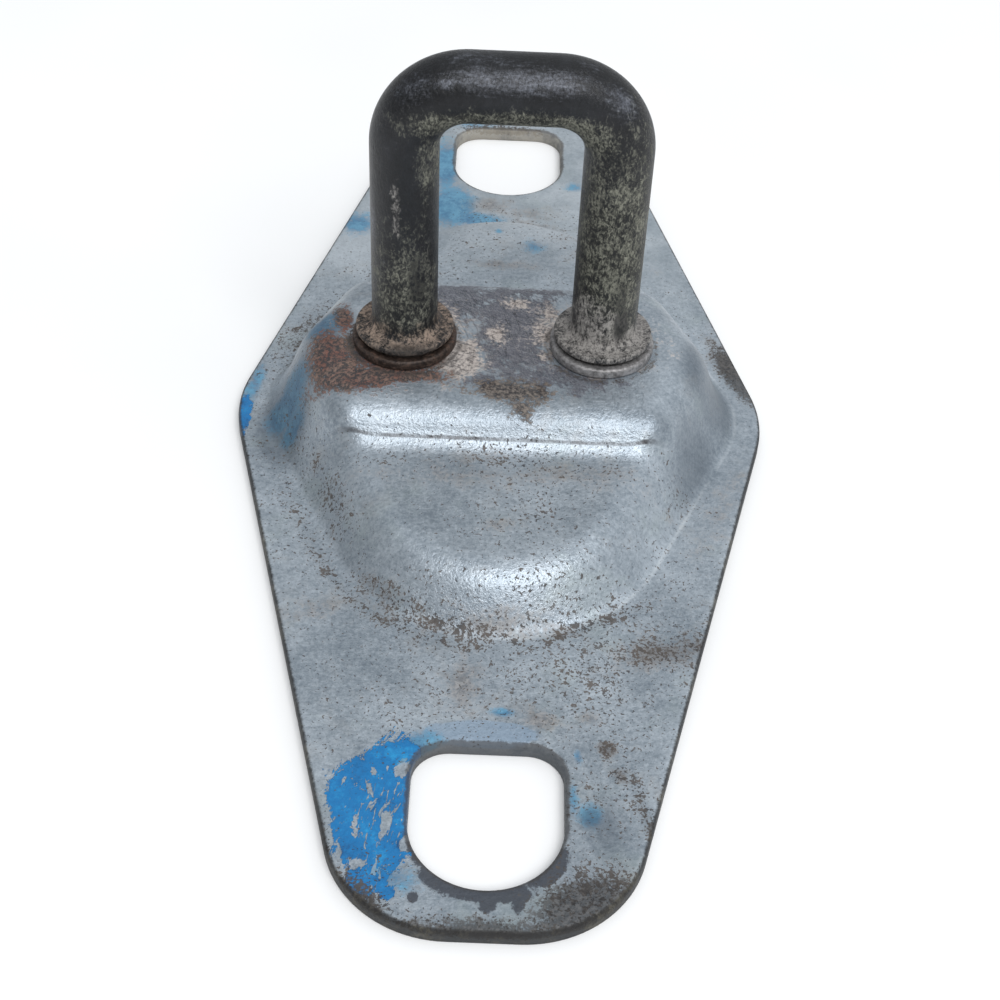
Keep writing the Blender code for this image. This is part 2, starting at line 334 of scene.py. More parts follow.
def make_plate():
    loops, points, edges = plate_points()
    points = np.array(points + list(fill_points(loops)))
    result = delaunay_2d_cdt([Vector(p) for p in points], edges, [], 2, 1e-4)
    flat = np.array([tuple(v) for v in result[0]])
    middle = np.array([flat[face].mean(axis=0) for face in result[2]])
    solid = depth_inside(middle, loops[0]) > 0
    for hole in loops[1:]:
        solid &= depth_inside(middle, hole) < 0
    faces = [face for face, keep in zip(result[2], solid) if keep]

    to_outer = depth_inside(flat, loops[0])
    to_hole = np.minimum.reduce([-depth_inside(flat, hole) for hole in loops[1:]])
    to_edge = np.minimum(to_outer, to_hole)
    height = boss_height(flat)
    slope = [
        (boss_height(flat + step) - boss_height(flat - step)) / (2 * SLOPE_STEP)
        for step in SLOPE_STEP * np.eye(2)
    ]
    normal = np.stack([-slope[0], -slope[1], np.ones(len(flat))], axis=1)
    normal /= np.linalg.norm(normal, axis=1)[:, None]

    top = np.column_stack([flat, SHEET + height])
    bottom = top - SHEET * normal
    top[:, 2] -= edge_drop(to_edge, EDGE_ROLL)
    bottom[:, 2] += edge_drop(to_edge, EDGE_BURR)

    count = len(flat)
    verts = np.vstack([top, bottom])
    sides = dict.fromkeys(side for face in faces for side in zip(face, face[1:] + face[:1]))
    walls = [(a, b) for a, b in sides if (b, a) not in sides]
    all_faces = [tuple(face) for face in faces]
    all_faces += [tuple(count + i for i in reversed(face)) for face in faces]
    all_faces += [(b, a, count + a, count + b) for a, b in walls]
    plate = new_piece("plate_pressing", verts, all_faces, ["base_plate"])
    mark_plate(plate, to_outer, to_hole, depth_inside(flat, FOOT))
    plate.data.materials.append(plate_material())


# ---------------------------------------------------------------- U bar

SIDES_ROUND = 56
RING_STEP = 0.6  # spacing of the mesh rings on the legs
BEND_STEPS = 26


def arc(centre, radius, start, end, steps):
    """Points (across, height) on an arc, with angles in degrees."""
    angles = np.radians(np.linspace(start, end, steps))
    return [(centre[0] + radius * math.cos(a), centre[1] + radius * math.sin(a)) for a in angles]


def leg_profile():
    """(radius, height) from the middle of the peened head up to the top of the leg's straight."""
    under = RIDGE_TOP - SHEET
    dome = under - HEAD_RIM - HEAD_BOTTOM
    angles = [math.radians(degrees) for degrees in range(4, 91, 6)]
    profile = [(HEAD_RADIUS * math.sin(a), HEAD_BOTTOM + dome * (1 - math.cos(a))) for a in angles]
    profile += arc((HEAD_RADIUS - HEAD_EDGE, under - HEAD_EDGE), HEAD_EDGE, 0, 90, 4)
    neck = ring_high.z - SUNK
    profile += [(BAR_RADIUS, under), (BAR_RADIUS, neck)]
    profile += [(GROOVE_RADIUS, neck), (GROOVE_RADIUS, COLLAR_BOTTOM)]
    edge = COLLAR_EDGE
    profile += arc((COLLAR_RADIUS - edge, COLLAR_BOTTOM + edge), edge, -90, 0, 5)
    profile += arc((COLLAR_RADIUS - edge, COLLAR_TOP - edge), edge, 0, 90, 6)
    flare = COLLAR_FLARE
    profile += arc((BAR_RADIUS + flare, COLLAR_TOP + flare), flare, -90, -180, 6)
    top = BAR_TOP - BEND_RADIUS
    start = COLLAR_TOP + flare
    steps = round((top - start) / RING_STEP)
    profile += [(BAR_RADIUS, start + (top - start) * (i + 1) / steps) for i in range(steps)]
    return profile


def bar_rings():
    """Rings along the bar: (centre, direction across, radius), from head to head."""
    leg = leg_profile()
    rings = [(Vector((-LEG_X, 0, z)), Vector((1, 0, 0)), r) for r, z in leg]
    for side, angles in ((-1, (180, 90)), (1, (90, 0))):
        centre = Vector((side * (LEG_X - BEND_RADIUS), 0, BAR_TOP - BEND_RADIUS))
        first = 1 if side < 0 else 0  # the legs' top rings are there already
        for i in range(first, first + BEND_STEPS):
            angle = math.radians(angles[0] + (angles[1] - angles[0]) * i / BEND_STEPS)
            out = Vector((math.cos(angle), 0, math.sin(angle)))
            rings.append((centre + BEND_RADIUS * out, -out, BAR_RADIUS))
    rings += [(Vector((LEG_X, 0, z)), Vector((-1, 0, 0)), r) for r, z in reversed(leg)]
    return rings


def make_loop():
    rings = bar_rings()
    verts, faces = [], []
    for centre, across, radius in rings:
        for k in range(SIDES_ROUND):
            angle = 2 * math.pi * k / SIDES_ROUND
            out = across * math.cos(angle) + Vector((0, 1, 0)) * math.sin(angle)
            verts.append(tuple(centre + out * radius))
    for i in range(len(rings) - 1):
        for k in range(SIDES_ROUND):
            a = i * SIDES_ROUND + k
            b = i * SIDES_ROUND + (k + 1) % SIDES_ROUND
            faces.append((a, b, b + SIDES_ROUND, a + SIDES_ROUND))
    faces.append(tuple(reversed(range(SIDES_ROUND))))
    last = (len(rings) - 1) * SIDES_ROUND
    faces.append(tuple(last + k for k in range(SIDES_ROUND)))
    loop = new_piece("riveted_u_bar", verts, faces, ["eye_loop"])
    mark_loop(loop)
    loop.data.materials.append(bar_material())


# ---------------------------------------------------------------- seat washers

WASHER_SIDES = 72


def make_washer(name, node, x, material):
    edge = WASHER_EDGE
    inner, outer = BAR_RADIUS + BORE_GAP, RING_RADIUS
    low, high = ring_low.z - WASHER_SUNK, ring_high.z
    profile = [(inner, low), (outer - edge, low)]
    profile += arc((outer - edge, low + edge), edge, -90, 0, 5)
    profile += arc((outer - edge, high - edge), edge, 0, 90, 5)
    profile += [(inner, high)]
    verts, faces = [], []
    for k in range(WASHER_SIDES):
        angle = 2 * math.pi * k / WASHER_SIDES
        for radius, z in profile:
            verts.append((x + radius * math.cos(angle), radius * math.sin(angle), z))
    size = len(profile)
    for k in range(WASHER_SIDES):
        here, there = k * size, (k + 1) % WASHER_SIDES * size
        for i in range(size):
            j = (i + 1) % size
            faces.append((here + i, there + i, there + j, here + j))
    ring = new_piece(name, verts, faces, [node])
    ring.data.materials.append(material)


# ---------------------------------------------------------------- marks on the surfaces
#
# A patch is (centre, reach, turn, strength): a soft ellipse in millimetres, turned about +Z by
# degrees. Its field is strength at the centre, 0 on the rim and negative outside. The materials add
# noise to a field and cut it at 0, so that every mark has a broken, natural edge. The first lists
# are places on plan, for the plate. The last five are places in space, for the bar.

PAINT = [
    ((-12.9, -61.2), (3.6, 4.2), 0, 1.8),
    ((-11, -64.6), (4.4, 6.4), 0, 1.8),
    ((-9.4, -61.5), (3.2, 7.6), 0, 1.6),
    ((-10.2, -57.6), (3, 3.4), -40, 1),
    ((-11.6, -71.6), (2, 2), 0, 1),
    ((-9.4, -73.2), (0.9, 0.9), 0, 0.7),
    ((-32.8, -3.4), (1.3, 4.4), 0, 0.9),
]
CHIP_ZONE = [
    ((-10.6, -63.6), (3.6, 6.6), 0, 1),
    ((-11.4, -70.6), (2.4, 1.8), 0, 1),
]
CHIPS = [
    ((-12, -60.9), (0.35, 1.3), 15, 0.5),
    ((-11.8, -58.6), (0.35, 0.7), 0, 0.4),
    ((-13.2, -65), (0.35, 1.3), 0, 0.5),
    ((-10.1, -64.9), (0.55, 2), -12, 0.5),
    ((-9, -58.1), (0.8, 1.4), -20, 0.6),
    ((-7.8, -67.4), (0.7, 1.3), 0, 0.5),
    ((-12.6, -69.9), (1.2, 0.5), 0, 0.4),
]
BLUE_WASH = [
    ((-8, 46), (4.6, 6.6), 0, 1.6),
    ((-5, 42.8), (6.8, 2.6), -12, 1.4),
    ((-9.4, 56.5), (3, 9), 0, 1.4),
    ((-5.5, 69.2), (6, 2), 0, 0.6),
    ((-21.5, 40.4), (3.6, 3.6), 30, 1.2),
    ((3.8, 27.4), (2.1, 2.2), 0, 0.8),
    ((-1, 31), (0.8, 0.8), 0, 0.8),
    ((10.1, 52.2), (1.9, 1.5), 0, 0.9),
    ((-26.6, -4.6), (3.6, 3.4), -8, 1.6),
    ((-25.4, -8.2), (2, 2.2), -8, 1.4),
    ((-22.2, 2.7), (2.8, 3.2), -20, 1.7),
    ((-31.8, 3), (1.4, 7), -8, 0.9),
    ((10.7, -63.3), (1.7, 1.9), 0, 1.2),
    ((-8, -55), (4.2, 2.6), 30, 1.2),
    ((-6.9, -59), (1.5, 4), 0, 0.8),
    ((-9, -71.4), (3.6, 2.4), -20, 0.9),
    ((1.4, -50), (1.7, 0.8), 0, 1.3),
    ((9.4, -55.6), (0.7, 1.6), 0, 1),
    ((8.8, -61), (0.7, 3.2), 0, 0.8),
]
RUST = [
    ((-13.2, -2.2), (7.8, 6.2), 10, 1.6),
    ((-17.7, -7.8), (6, 2.8), -6, 1.3),
    ((-20.8, -3.8), (3, 6), 16, 1.4),
    ((-12.4, -7), (7.5, 2), 4, 1),
    ((-19.8, 3.5), (1.6, 4.6), 10, 0.7),
    ((1.4, -9.2), (6.2, 2.5), -3, 1),
    ((2.4, -11.6), (2.4, 1.6), 0, 0.7),
]
TAN = [
    ((-12.1, 0), (9.2, 8.8), 0, 1.1),
    ((-5.4, -3.4), (3.6, 4.6), 0, 2.2),
    ((-0.6, 1.6), (1.6, 2.6), 0, 1),
    ((1.6, 8.4), (2.2, 1.6), 0, 0.9),
    ((6.2, 2.5), (3, 6.5), 0, 1),
    ((12.1, 2), (8.2, 7.4), 0, 0.5),
]
# Stains, and some painted shade where the boss's folds would catch light.
STAIN_AND_SHADE = [
    ((-2.4, 46.4), (4.6, 2.6), 0, 1.2),
    ((3.2, 45.2), (4.4, 2.6), 0, 0.9),
    ((-5.7, 35.5), (3.4, 2.4), 0, 0.6),
    ((-3.1, -46), (2.6, 6), -8, 1.1),
    ((5.6, -50.8), (3.2, 1.9), -15, 1.1),
    ((12.4, -54.4), (1.6, 1.5), 0, 1.3),
    ((13.7, -57.8), (1.3, 1.5), 0, 1.5),
    ((10.6, -50.2), (1.8, 1.3), 0, 1),
    ((20, -40.4), (9, 3.2), 14, 1.1),
    # these three are painted shade: they dim the bright band under the ridge's wall and the near lobe's
    # foot
    ((8, -18.9), (14, 3), -3, 0.6),
    ((-1, -19.6), (20, 2.4), 0, 0.6),
    ((1, -38.2), (13, 1.7), 0, 0.9),
    ((-0.1, -27.6), (2.4, 1.5), 0, 0.9),
    ((-12.4, -34.4), (5, 2), -40, 0.6),
    ((-20.6, -36), (5, 2), 20, 0.7),
    ((4.6, 41.6), (6, 0.9), -12, 1.2),
    ((-1, 22.6), (8, 1.6), 0, 0.8),
    ((14, 30), (9, 5), 30, 0.6),
    ((-14, 52), (3, 7), 10, 0.5),
    ((29.8, 12), (2.6, 6), 20, 1.4),
    ((27, -18), (2.5, 12), -26, 0.5),
    ((9, 33), (7, 2.4), -28, 0.8),
    ((-16, 27), (6, 2.4), 40, 0.7),
    ((3, 71), (7, 3), 8, 0.7),
    ((1, 2), (10, 12), 0, 1.2),
]
SLATE = [
    ((1.6, 3.6), (6, 12), 0, 1.2),
    ((-5.6, 8.4), (6, 5), 0, 1.1),
    ((8, -6.4), (7.5, 3.2), -6, 0.6),
    ((-2.6, -7.2), (3.4, 1.6), 0, 0.8),
    ((0, 10.5), (14, 2.4), 0, 0.6),
]
BARE = [
    ((0.3, -72.6), (5.4, 1.5), 0, 1.2),
    ((6.3, -69.8), (1.6, 3.2), -38, 1.1),
    ((-4.6, -71.4), (2.4, 1.4), -30, 0.9),
    ((-7, -68.3), (0.8, 2.2), 25, 0.6),
    ((0.3, -74.2), (1.1, 1.1), 0, 0.6),
    ((3.3, -74.2), (0.9, 1.3), 0, 0.6),
    ((-6.9, -73.6), (0.7, 0.8), 0, 0.8),
]
CLEAN = [
    ((-0.8, -52.9), (6.6, 1.8), 0, 1.3),
]
# Dirt, with painted shade where it lies in the crease at the lobes' foot and on the far hole's far
# wall.
GRIME_AND_SHADE = [
    ((9.6, -74), (7, 4), 22, 1.9),
    ((0.5, -77), (12, 1.9), 0, 1.3),
    ((-11.5, -74.6), (5, 1.8), -42, 1.1),
    ((-16.6, -67), (1.2, 5), 12, 0.7),
    ((16.6, -64), (0.9, 8), 15, 0.4),
    ((30.9, 9), (2.3, 8), 20, 1.9),
    ((21.5, -39.6), (6, 2.2), 14, 0.35),
    ((-12.6, -34.2), (5, 1.2), -38, 0.3),
    ((-19.3, -20.6), (1.2, 6), 24, 0.3),
    ((-4, -38.4), (7, 0.8), -12, 0.15),
    ((12, -36.3), (6.5, 0.8), 28, 0.2),
    ((0, 67.9), (7, 0.8), 0, 0.9),
    ((-25, 14), (3.5, 9), -30, 0.45),
    ((13.7, -57.8), (1, 1.1), 0, 0.5),
    ((12.4, -54.4), (1, 1), 0, 0.5),
]
SPECKS = [
    ((12, -44), (20, 14), 20, 1),
    ((0, -17.6), (22, 2.6), 0, 1.2),
    ((3.5, -35.3), (3, 1.6), 12, 1.5),
    ((-6, -37.5), (12, 3.4), -14, 1),
    ((12, -36.5), (10, 3.2), 26, 1),
    ((20, -36), (10, 6), 10, 1.2),
    ((-14, -74), (9, 5), 0, 1.2),
    ((4, -26), (12, 6), 0, 0.7),
    ((12, -58), (7, 14), 0, 1),
    ((-26, -12), (6, 22), 20, 0.8),
    ((0, 24), (24, 6), 0, 0.15),
    ((-12, -45), (12, 9), 0, 0.7),
    ((6, 40), (14, 5), -14, 0.4),
    ((-4, 70), (12, 5), 0, 0.9),
]
# Darkening patches. Most are painted shade on the boss's left and right slopes and on the ridge's wall.
# Those over the blue wash at the left waist and round the near hole are real tarnish.
TARNISH_AND_SHADE = [
    ((-21, -14), (5, 15), 22, 0.4),
    ((-15.5, -28), (8, 6), -50, 0.5),
    ((26, -1), (5.5, 8), -16, 1.8),
    ((24, -11), (4.5, 10), -22, 1.2),
    ((4, -13.2), (20, 1.8), 0, 0.6),
    ((-26.6, -6), (6, 9), 0, 1.9),
    ((-22.5, 2.5), (4.5, 6), 0, 1.7),
    ((10, -68), (14, 16), 0, 0.45),
    ((12.2, -65), (4.5, 8), 8, 1),
    ((10.7, -63.6), (2.2, 2.6), 0, 1.3),
    ((18, -12.6), (6, 2.4), 0, 0.9),
]


FAR_OFF = 4.0  # distances from an edge or a foot are stored up to this


def patch_field(points, patches):
    """Strength of the strongest patch at each point."""
    best = np.full(len(points), -1.0)
    for centre, reach, turn, strength in patches:
        offset = points[:, : len(centre)] - centre
        c, s = math.cos(math.radians(turn)), math.sin(math.radians(turn))
        across, along = offset[:, 0] * c + offset[:, 1] * s, offset[:, 1] * c - offset[:, 0] * s
        offset[:, 0], offset[:, 1] = across, along
        inside = 1 - np.linalg.norm(offset / reach, axis=1)
        best = np.maximum(best, np.where(inside > 0, strength * inside, inside))
    return best


def set_field(piece, name, values):
    field = piece.data.attributes.new(name, "FLOAT", "POINT")
    field.data.foreach_set("value", np.asarray(values, dtype=np.float32))


def mark_plate(piece, to_edge, to_hole, to_foot):
    """Stores the plate's fields. The first half of the vertices is the top, the rest the underside."""
    count = len(to_edge)
    places = np.array([tuple(v.co / MM) for v in piece.data.vertices])[:count]
    x, y = places[:, 0], places[:, 1]
    # dirt and painted shade lie in the crease at the boss's foot, most of it near and to the left, and
    # a painted contact shade with dirt lies round the washers
    crease = 0.75 - np.abs(to_foot + 1.2) / 2.2
    near_left = np.clip((-y - 5) / 25, 0, 1) * np.clip((14 - x) / 20, 0.25, 1)
    crease_dirt_and_shade = crease * near_left - 0.52
    washer_dirt_and_shade = 0.7 - np.abs(np.hypot(np.abs(x) - LEG_X, y) - 6.8) / 0.6
    fields = {
        "paint": np.minimum(patch_field(places, PAINT), -patch_field(places, CHIPS)),
        "chips": patch_field(places, CHIP_ZONE),
        "wash": patch_field(places, BLUE_WASH),
        "rust": patch_field(places, RUST),
        "tan": patch_field(places, TAN),
        "stain_and_shade": patch_field(places, STAIN_AND_SHADE),
        "slate": patch_field(places, SLATE),
        "bare": patch_field(places, BARE),
        "clean": patch_field(places, CLEAN),
        "grime_and_shade": np.maximum.reduce([patch_field(places, GRIME_AND_SHADE), crease_dirt_and_shade, washer_dirt_and_shade]),
        "specks": patch_field(places, SPECKS),
        "tarnish_and_shade": patch_field(places, TARNISH_AND_SHADE),
    }
    for name, values in fields.items():
        set_field(piece, name, np.concatenate([values, np.full(count, -1.0)]))
    set_field(piece, "edge", np.tile(np.minimum(to_edge, FAR_OFF), 2))
    set_field(piece, "hole", np.tile(np.minimum(to_hole, FAR_OFF), 2))
    set_field(piece, "foot", np.tile(np.clip(to_foot, -FAR_OFF, FAR_OFF), 2))
    set_field(piece, "under", np.concatenate([np.zeros(count), np.ones(count)]))


PATINA = [
    ((-12.2, -2, 21), (5.5, 6, 12), 0, 0.7),
    ((12.4, -1.5, 28), (6, 6.5, 20), 0, 1.2),
    ((0, -3.2, 45.4), (13.5, 3.2, 2.6), 0, 2.1),
    ((9, -2.5, 44), (5, 3.4, 3.4), 0, 0.9),
    ((-9, -1, 40), (2.2, 4, 6), 0, 0.7),
    ((-12.6, 3, 23), (4.5, 3.2, 10), 0, 1),
    ((12, 3, 31), (4.5, 3.2, 15), 0, 1),
    ((1, 3.2, 45.6), (10, 2.6, 2.4), 0, 1),
]
# Rubbed wear on the bar, made lighter still as a painted sheen where its top and bends catch the light.
RUBBED_AND_SHEEN = [
    ((0.5, -3, 50.8), (9.5, 2.2, 2), 0, 1.4),
    ((-7.6, -3.3, 50.4), (1.2, 1.4, 1), 0, 1.3),
    ((-5.4, -0.4, 52.2), (2.5, 1.8, 0.8), 0, 0.5),
    ((9, -0.8, 52), (2.5, 1.8, 1), 0, 0.6),
    ((13, -2.6, 48.8), (4.6, 1.6, 2.6), 0, 1.1),
    ((-11.5, -2.4, 49.4), (4, 1.8, 2.4), 0, 0.5),
    ((-15.7, -1.6, 31), (0.7, 1.6, 4), 0, 0.8),
    ((-1, 3, 50.6), (9, 2.2, 2), 0, 0.8),
    ((13.6, 2.9, 36), (0.9, 1.4, 6), 0, 0.8),
]
PALE = [
    ((12.1, 0, 15.6), (9, 9, 3.2), 0, 1.3),
    ((10, -3, 19), (5, 4, 5), 0, 0.7),
    ((-12.1, -2, 15.2), (7, 8, 1.7), 0, 0.7),
    ((-12.9, -3.9, 34.4), (0.65, 1.2, 5), 0, 0.6),
]
CRUST = [
    ((-12.1, 0, 14.6), (9, 9, 3.6), 0, 1),
    ((-12.1, 1, 8.6), (9, 8, 2.6), 0, 1),
    ((12.1, -1, 8.6), (8, 9, 2.6), 0, 0.8),
]
# Black smears, and painted shade: the rings at each collar's foot darken the gap down to the washer,
# and the left collar's front side.
SOOT_AND_SHADE = [
    ((14, -3.6, 18.8), (0.8, 1.8, 2.8), 0, 0.9),
    ((13.6, -4, 23), (0.9, 1.6, 2.2), 0, 0.5),
    ((-11.6, -6, 14.9), (5, 3, 0.8), 0, 1.8),
    ((-12.1, 0, 14.5), (9, 9, 0.45), 0, 2),
    ((12.1, 0, 14.5), (9, 9, 0.45), 0, 2),
    ((-10.5, -3.8, 24), (0.9, 1.8, 3.4), 0, 0.4),
]


def mark_loop(piece):
    places = np.array([tuple(v.co / MM) for v in piece.data.vertices])
    fields = {"patina": PATINA, "rubbed_and_sheen": RUBBED_AND_SHEEN, "pale": PALE, "crust": CRUST, "soot_and_shade": SOOT_AND_SHADE}
    for name, patches in fields.items():
        set_field(piece, name, patch_field(places, patches))


# ---------------------------------------------------------------- materials


def srgb(red, green, blue):
    """Linear colour from the usual 0 to 255 values."""
    return tuple(
        c / 255 / 12.92 if c <= 10 else ((c / 255 + 0.055) / 1.055) ** 2.4
        for c in (red, green, blue)
    )


# Pairs are the darker and the lighter shade of a mottled colour.
ZINC = srgb(120, 131, 141), srgb(194, 203, 211)
ZINC_WARM = srgb(146, 140, 132)
ZINC_GREEN = srgb(172, 184, 180)
ZINC_PAINTED_GLINT = srgb(222, 228, 232)
ZINC_FAR_PAINTED_LIGHT = srgb(168, 178, 184), srgb(206, 212, 216)
ZINC_CLEAN = srgb(150, 172, 194)
ZINC_TARNISH_AND_SHADE = srgb(66, 78, 90)
WASH = srgb(34, 104, 146), srgb(92, 156, 188)
STAINED_AND_SHADED = srgb(84, 76, 72), srgb(140, 132, 126)
SLATED = srgb(23, 24, 34), srgb(85, 86, 96)
SCRATCHED = srgb(176, 177, 182)
TANNED = srgb(92, 83, 77), srgb(204, 193, 185)
SCRAPED = srgb(62, 60, 66)
BARE_STEEL = srgb(70, 73, 81)
RUST_DARK = srgb(36, 26, 23)
RUST_LIGHT = srgb(114, 64, 44), srgb(126, 100, 86)
RUST_BROWN = srgb(122, 111, 101)
BLUE_DEEP = srgb(5, 60, 106), srgb(6, 110, 170)
BLUE_PALE = srgb(34, 150, 206)
PITTED = srgb(46, 42, 42), srgb(88, 78, 70)
GROOVE_SHADE = srgb(74, 74, 76)
GRIMY_AND_SHADED = srgb(30, 28, 28), srgb(76, 72, 69)
DUST = srgb(96, 90, 84)
SEEPED = srgb(48, 34, 29), srgb(122, 84, 62)
SHEARED = srgb(72, 66, 60), srgb(152, 146, 134)
SHEARED_NEAR = srgb(45, 47, 51)  # laid over the near hole's wall
SHEARED_LIP = srgb(58, 54, 52)
RIM_DARKENED = srgb(27, 25, 24), srgb(84, 80, 68)
BLACKENED = srgb(9, 10, 13), srgb(36, 38, 43)
BLACK_WORN = srgb(96, 98, 106)
PATINATED = srgb(22, 23, 20), srgb(132, 132, 119)
PALED = srgb(66, 63, 61), srgb(157, 153, 149)
POLISHED_AND_SHEEN = srgb(64, 66, 74), srgb(124, 128, 138)
CRUSTED = srgb(54, 43, 36), srgb(150, 131, 116)
SOOT_AND_SHADE_BLACK = srgb(22, 22, 23)
RUSTY_STEEL = srgb(34, 27, 25), srgb(84, 70, 62)
STAINED_STEEL = srgb(92, 90, 90), srgb(172, 170, 170)
RING_RUST = srgb(38, 26, 22), srgb(92, 64, 50)
FLOOR_WHITE = srgb(244, 244, 244), srgb(250, 250, 250)


class Graph:
    """Builds one material's nodes. Sizes are millimetres, and a value is a number or an output."""

    def __init__(self, name):
        self.material = bpy.data.materials.new(name)
        self.material.use_nodes = True
        self.tree = self.material.node_tree
        self.shader = self.tree.nodes["Principled BSDF"]
        place = self.add("ShaderNodeVectorMath", operation="SCALE")
        self.feed(place.inputs[0], self.add("ShaderNodeTexCoord").outputs["Object"])
        place.inputs["Scale"].default_value = 1 / MM
        self.place = place.outputs[0]

    def add(self, kind, **settings):
        node = self.tree.nodes.new(kind)
        for key, value in settings.items():
            setattr(node, key, value)
        return node

    def feed(self, socket, value):
        if isinstance(value, bpy.types.NodeSocket):
            self.tree.links.new(value, socket)
        elif isinstance(value, tuple) and socket.type == "RGBA":
            socket.default_value = (*value, 1)
        else:
            socket.default_value = value

    def maths(self, operation, *values):
        node = self.add("ShaderNodeMath", operation=operation)
        for socket, value in zip(node.inputs, values):
            self.feed(socket, value)
        return node.outputs[0]

    def plus(self, first, *others):
        for other in others:
            first = self.maths("ADD", first, other)
        return first

    def times(self, first, *others):
        for other in others:
            first = self.maths("MULTIPLY", first, other)
        return first

    def most(self, first, *others):
        for other in others:
            first = self.maths("MAXIMUM", first, other)
        return first

    def absolute(self, value):
        return self.maths("ABSOLUTE", value)

    def total(self, *terms):
        """Sum of outputs and numbers, where a tuple stands for the product of its members."""
        parts = [self.times(*term) if isinstance(term, tuple) else term for term in terms]
        return self.plus(*parts)

    def field(self, name):
        return self.add("ShaderNodeAttribute", attribute_name=name).outputs["Fac"]

    def axis(self, letter):
        node = self.add("ShaderNodeSeparateXYZ")
        self.feed(node.inputs[0], self.place)
        return node.outputs[letter]

    def noise(self, size, detail=3.0, rough=0.55, warp=0.0, stretch=(1, 1, 1), turn=0, seed=0):
        """Noise from -1 to 1, mostly within half of that. stretch lengthens it along the axes."""
        where = self.add("ShaderNodeMapping", vector_type="TEXTURE")
        self.feed(where.inputs["Vector"], self.place)
        where.inputs["Location"].default_value = (seed * 31.7, seed * 13.1, seed * 7.9)
        where.inputs["Rotation"].default_value = (0, 0, math.radians(turn))
        where.inputs["Scale"].default_value = tuple(size * s for s in stretch)
        node = self.add("ShaderNodeTexNoise")
        self.feed(node.inputs["Vector"], where.outputs[0])
        node.inputs["Scale"].default_value = 1
        node.inputs["Detail"].default_value = detail
        node.inputs["Roughness"].default_value = rough
        node.inputs["Distortion"].default_value = warp
        return self.maths("MULTIPLY_ADD", node.outputs["Fac"], 2.0, -1.0)

    def ramp(self, value, low, high):
        """Smooth step from 0 at low to 1 at high."""
        node = self.add("ShaderNodeMapRange", interpolation_type="SMOOTHSTEP")
        self.feed(node.inputs["Value"], value)
        node.inputs["From Min"].default_value = low
        node.inputs["From Max"].default_value = high
        return node.outputs["Result"]

    def broken(self, name, noise, soft=0.12, start=0.0):
        """Mask of a field whose edge is broken up by noise."""
        return self.ramp(self.plus(self.field(name), noise), start, start + soft)

    def mix(self, factor, first, second):
        node = self.add("ShaderNodeMix", data_type="RGBA")
        self.feed(node.inputs["Factor"], factor)
        self.feed(node.inputs[6], first)
        self.feed(node.inputs[7], second)
        return node.outputs[2]

    def tones(self, value, low, high, shades):
        """Colour that goes from the first shade at low to the second at high."""
        return self.mix(self.ramp(value, low, high), *shades)

    def coat(self, amount, cover, colour, shade):
        """Lays a shade over a colour where amount is 1, with cover as its opacity."""
        return self.mix(self.times(amount, cover), colour, shade)

    def blend(self, factor, first, second):
        node = self.add("ShaderNodeMix", data_type="FLOAT")
        self.feed(node.inputs[0], factor)
        self.feed(node.inputs[2], first)
        self.feed(node.inputs[3], second)
        return node.outputs[0]

    def finish(self, colour, metallic, roughness, height, depth):
        """Joins everything to the shader. height is in units of depth millimetres."""
        self.feed(self.shader.inputs["Base Color"], colour)
        self.feed(self.shader.inputs["Metallic"], metallic)
        self.feed(self.shader.inputs["Roughness"], roughness)
        bump = self.add("ShaderNodeBump")
        self.feed(bump.inputs["Height"], height)
        bump.inputs["Distance"].default_value = depth * MM
        self.feed(self.shader.inputs["Normal"], bump.outputs[0])
        return self.material


ARC_PITCH = 0.75  # between the arcs rubbed round the left leg
GROOVE_Y = 14.7  # of the dark line along the ridge's wall


def scratch_noises(g):
    """Two sets of crossing scratches: mostly along the plate, and mostly across it."""
    along = g.noise(0.5, detail=4, rough=0.7, warp=1.6, stretch=(1, 6, 1), turn=18, seed=7)
    across = g.noise(0.42, detail=3, rough=0.65, warp=1.2, stretch=(8, 1, 1), turn=-24, seed=8)
    return along, across


def turned_arcs(g, leg, blotch, grain, along_lines):
    """Arcs rubbed into the ridge's top round the left leg, on the side of the eye."""
    x = g.axis("X")
    beside = g.plus(g.absolute(x), -LEG_X)
    waves = g.maths("SINE", g.times(g.total(leg, (blotch, 0.5)), 2 * math.pi / ARC_PITCH))
    ring = g.times(g.ramp(leg, 7.2, 7.8), g.ramp(leg, 10.6, 9.4))
    left_inside = g.times(g.ramp(beside, -4.0, -6.5), g.ramp(x, 2.0, -1.0))
    on_top = g.ramp(g.axis("Z"), 12.0, 12.4)
    uneven = g.ramp(g.total(waves, (grain, 2.5), (along_lines, 2.0)), 0.4, 1.2)
    return g.times(uneven, ring, left_inside, on_top)


def painted_groove_shade(g, blotch):
    """A painted shade line in the crease at the foot of the ridge's wall, bent a little at both ends.
    """
    from_middle = g.absolute(g.axis("X"))
    reach = g.maths("MAXIMUM", g.plus(from_middle, -14.0), 0.0)
    bend = g.times(reach, reach, 1.3 / 49)
    across = g.absolute(g.plus(g.absolute(g.axis("Y")), bend, -GROOVE_Y))
    line = g.times(g.ramp(across, 0.26, 0.08), g.ramp(from_middle, 20.5, 17.0))
    return g.times(line, g.plus(0.65, blotch), g.ramp(g.axis("Z"), 7.6, 8.0))


